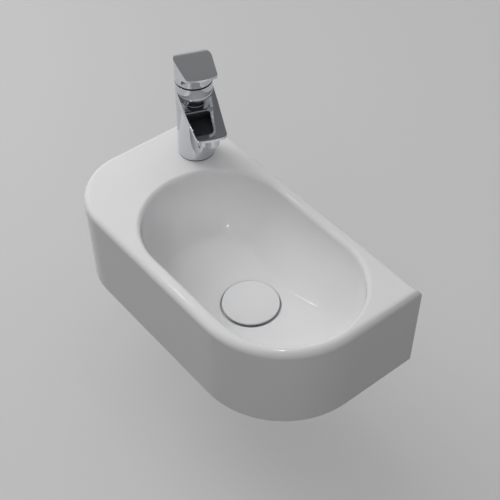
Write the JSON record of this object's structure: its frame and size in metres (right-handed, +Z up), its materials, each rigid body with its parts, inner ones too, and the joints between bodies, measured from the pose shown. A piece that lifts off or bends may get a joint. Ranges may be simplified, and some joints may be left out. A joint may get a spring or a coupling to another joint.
{
  "type": "cloakroom basin with tap and waste",
  "caption": "Compact wall-hung cloakroom basin in white glazed ceramic, with a chrome single-lever mixer tap on its left deck and a push-to-open waste with a domed ceramic cap.",
  "frame": {"origin": "on the back face where it meets the wall, midway between the two wall fixing holes", "axes": "+X to the right along the wall as seen from the room, +Y into the wall, +Z up"},
  "size_m": [0.4, 0.215, 0.304],
  "materials": {
    "ceramic": "gloss",
    "chrome_brass": "polished",
    "chrome_zinc": "polished",
    "bare_brass": "satin",
    "steel": "satin",
    "disc_ceramic": "polished",
    "plastic": "matte",
    "rubber": "matte"
  },
  "bodies": {
    "basin_and_tap": {"basin": "ceramic", "waste_flange": "chrome_brass", "waste_flange_washer": "rubber", "waste_cone_washer": "rubber", "waste_back_nut": "bare_brass", "waste_click_barrel": "plastic", "tap_body": "chrome_brass", "tap_gasket": "rubber", "tap_stud": "steel", "tap_shoe_rubber": "rubber", "tap_shoe_steel": "steel", "tap_stud_nut": "bare_brass", "aerator_ring": "chrome_brass", "aerator_insert": "plastic", "aerator_washer": "rubber", "cartridge_housing": "plastic", "cartridge_seal": "rubber", "cartridge_fixed_disc": "disc_ceramic", "cartridge_ring_nut": "bare_brass", "cartridge_cover": "chrome_brass"},
    "swivel": {"cartridge_rotor": "plastic", "cartridge_moving_disc": "disc_ceramic", "cartridge_pin": "steel"},
    "lever": {"cartridge_stem": "steel", "lever": "chrome_zinc", "lever_set_screw": "steel", "lever_plug": "chrome_brass"},
    "cap": {"waste_cap": "ceramic", "waste_cap_carrier": "plastic", "waste_cap_seal": "rubber", "waste_click_pin": "bare_brass"}
  },
  "joints": [
    {"name": "lever_turn", "type": "hinge", "parent": "basin_and_tap", "child": "swivel", "pos_m": [-0.1425, -0.0485, 0.159], "axis": [0, 0, 1], "range_deg": [-45, 45]},
    {"name": "lever_lift", "type": "hinge", "parent": "swivel", "child": "lever", "pos_m": [-0.1425, -0.0485, 0.159], "axis": [-0.3746, -0.9272, 0], "range_deg": [0, 22]},
    {"name": "cap_travel", "type": "slide", "parent": "basin_and_tap", "child": "cap", "axis": [0, 0, 1], "range_m": [0, 0.008]}
  ]
}
